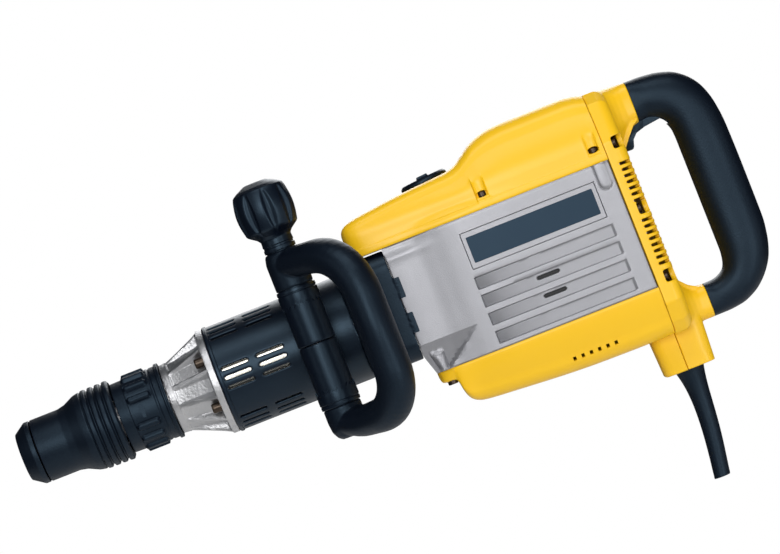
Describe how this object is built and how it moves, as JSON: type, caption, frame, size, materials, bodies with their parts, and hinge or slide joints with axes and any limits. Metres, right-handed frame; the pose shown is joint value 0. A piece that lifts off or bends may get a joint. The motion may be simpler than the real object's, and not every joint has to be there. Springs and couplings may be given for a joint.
{
  "type": "demolition hammer",
  "caption": "Electric demolition hammer with a tool chuck, slotted barrel, swivelling side handle, silver motor body, yellow covers and a black D-shaped rear grip.",
  "frame": {"origin": "centre of the tool bore at the nose's front face", "axes": "+X along the tool axis from the nose to the rear handle, +Z towards the trigger arm, +Y across the body"},
  "size_m": [0.62, 0.1929, 0.3535],
  "materials": {
    "soft_rubber": "fine matt grip texture",
    "black_plastic": "moulded, satin",
    "black_case": "fine textured paint",
    "cast_aluminium": "die cast, bright",
    "silver_body": "fine satin metallic",
    "yellow_shell": "moulded, semi gloss",
    "badge_plate": "smooth dark plate",
    "bright_tube": "turned bright",
    "machined_steel": "ground",
    "piston_alloy": "turned",
    "spring_steel": "drawn wire",
    "seal_rubber": "smooth",
    "laminated_iron": "stacked laminations",
    "copper_winding": "enamelled copper",
    "carbon": "pressed carbon",
    "dark_moulding": "glass-filled moulding",
    "screw_steel": "yellow passivated"
  },
  "bodies": {
    "root": {"front_housing": "cast_aluminium", "front_housing_screws": "screw_steel", "barrel_tube": "bright_tube", "barrel_sleeve": "black_plastic", "gear_case": "black_case", "cylinder": "machined_steel", "idler_shaft": "machined_steel", "crank_bearings": "machined_steel", "crank_case": "cast_aluminium", "crank_case_lid": "cast_aluminium", "gear_plate": "cast_aluminium", "stator_core": "laminated_iron", "field_coils": "copper_winding", "motor_bearings": "machined_steel", "brush_bridge": "dark_moulding", "carbon_brushes": "carbon", "motor_housing": "silver_body", "name_badges": "badge_plate", "top_cover": "yellow_shell", "electronics_module": "dark_moulding", "bottom_cover": "yellow_shell", "rear_housing": "yellow_shell", "rear_grip": "soft_rubber", "trigger_pin": "machined_steel", "trigger_spring": "spring_steel", "switch_module": "dark_moulding", "cord_guard": "soft_rubber", "cord_clamp": "dark_moulding", "housing_screws": "screw_steel"},
    "chuck": {"tool_holder": "machined_steel", "nose_cap": "soft_rubber", "index_collar": "black_plastic", "sleeve_spring": "spring_steel"},
    "sleeve": {"locking_sleeve": "black_plastic"},
    "upper_lock": {"locking_bar_upper": "machined_steel"},
    "lower_lock": {"locking_bar_lower": "machined_steel"},
    "beat_piece": {"impact_bolt": "machined_steel"},
    "ram": {"striker": "machined_steel", "striker_ring": "seal_rubber"},
    "piston": {"piston": "piston_alloy", "piston_ring": "seal_rubber", "wrist_pin": "machined_steel"},
    "rod": {"conrod": "machined_steel", "crank_pin": "machined_steel"},
    "crank": {"crankshaft": "machined_steel", "crank_gear": "machined_steel"},
    "idler": {"idler_gear": "machined_steel"},
    "armature": {"armature_shaft": "machined_steel", "armature_core": "laminated_iron", "armature_windings": "copper_winding", "commutator": "copper_winding", "cooling_fan": "dark_moulding"},
    "trigger": {"trigger": "black_plastic"},
    "dial": {"speed_dial": "black_plastic"},
    "clamp": {"clamp_jaw_upper": "black_plastic", "clamp_jaw_lower": "black_plastic", "clamp_hinge_pin": "machined_steel", "clamp_bolt": "machined_steel"},
    "loop": {"side_loop": "soft_rubber"},
    "knob": {"clamp_knob": "black_plastic"}
  },
  "joints": [
    {"name": "chuck_turn", "type": "hinge", "parent": "root", "child": "chuck", "pos_m": [0.1, 0, 0], "axis": [1, 0, 0], "continuous": true},
    {"name": "sleeve_slide", "type": "slide", "parent": "chuck", "child": "sleeve", "axis": [1, 0, 0], "range_m": [0, 0.009], "stiffness_N_per_m": 2500, "springref_m": -0.004, "deforming": ["sleeve_spring"]},
    {"name": "upper_lock_slide", "type": "slide", "parent": "chuck", "child": "upper_lock", "axis": [0, 0, 1], "range_m": [0, 0.0016]},
    {"name": "lower_lock_slide", "type": "slide", "parent": "chuck", "child": "lower_lock", "axis": [0, 0, -1], "range_m": [0, 0.0016]},
    {"name": "beat_piece_slide", "type": "slide", "parent": "root", "child": "beat_piece", "axis": [1, 0, 0], "range_m": [-0.01, 0]},
    {"name": "ram_slide", "type": "slide", "parent": "root", "child": "ram", "axis": [1, 0, 0], "range_m": [-0.006, 0.02]},
    {"name": "piston_slide", "type": "slide", "parent": "root", "child": "piston", "axis": [1, 0, 0], "range_m": [0, 0.028]},
    {"name": "rod_swing", "type": "hinge", "parent": "piston", "child": "rod", "pos_m": [0.28975, 0, 0], "axis": [0, 0, 1], "range_deg": [-10, 10]},
    {"name": "crank_spin", "type": "hinge", "parent": "root", "child": "crank", "pos_m": [0.38375, 0, -0.03], "axis": [0, 0, 1], "continuous": true},
    {"name": "idler_spin", "type": "hinge", "parent": "root", "child": "idler", "pos_m": [0.4175, 0, -0.07], "axis": [0, 0, 1], "continuous": true},
    {"name": "armature_spin", "type": "hinge", "parent": "root", "child": "armature", "pos_m": [0.455, 0, 0], "axis": [0, 0, 1], "continuous": true},
    {"name": "trigger_pull", "type": "hinge", "parent": "root", "child": "trigger", "pos_m": [0.56, 0, 0.077], "axis": [0, -1, 0], "range_deg": [0, 9], "stiffness_Nm_per_rad": 0.6, "springref_deg": -8.59, "deforming": ["trigger_spring"]},
    {"name": "dial_turn", "type": "hinge", "parent": "root", "child": "dial", "pos_m": [0.378, 0, 0.0886], "axis": [-0.0797, 0, 0.9968], "range_deg": [-135, 135]},
    {"name": "clamp_swing", "type": "hinge", "parent": "root", "child": "clamp", "pos_m": [0.253, 0, 0], "axis": [1, 0, 0], "continuous": true},
    {"name": "loop_swing", "type": "hinge", "parent": "clamp", "child": "loop", "pos_m": [0.253, -0.06, 0], "axis": [0, 0, -1], "range_deg": [-8, 88]},
    {"name": "knob_turn", "type": "hinge", "parent": "clamp", "child": "knob", "pos_m": [0.253, -0.06, 0.1], "axis": [0, 0, 1], "continuous": true}
  ],
  "couplings": [
    {"joint": "upper_lock_slide", "follows": "sleeve_slide", "ratio": 0.16667},
    {"joint": "lower_lock_slide", "follows": "sleeve_slide", "ratio": 0.16667},
    {"joint": "idler_spin", "follows": "crank_spin", "ratio": -2},
    {"joint": "armature_spin", "follows": "crank_spin", "ratio": 10}
  ]
}
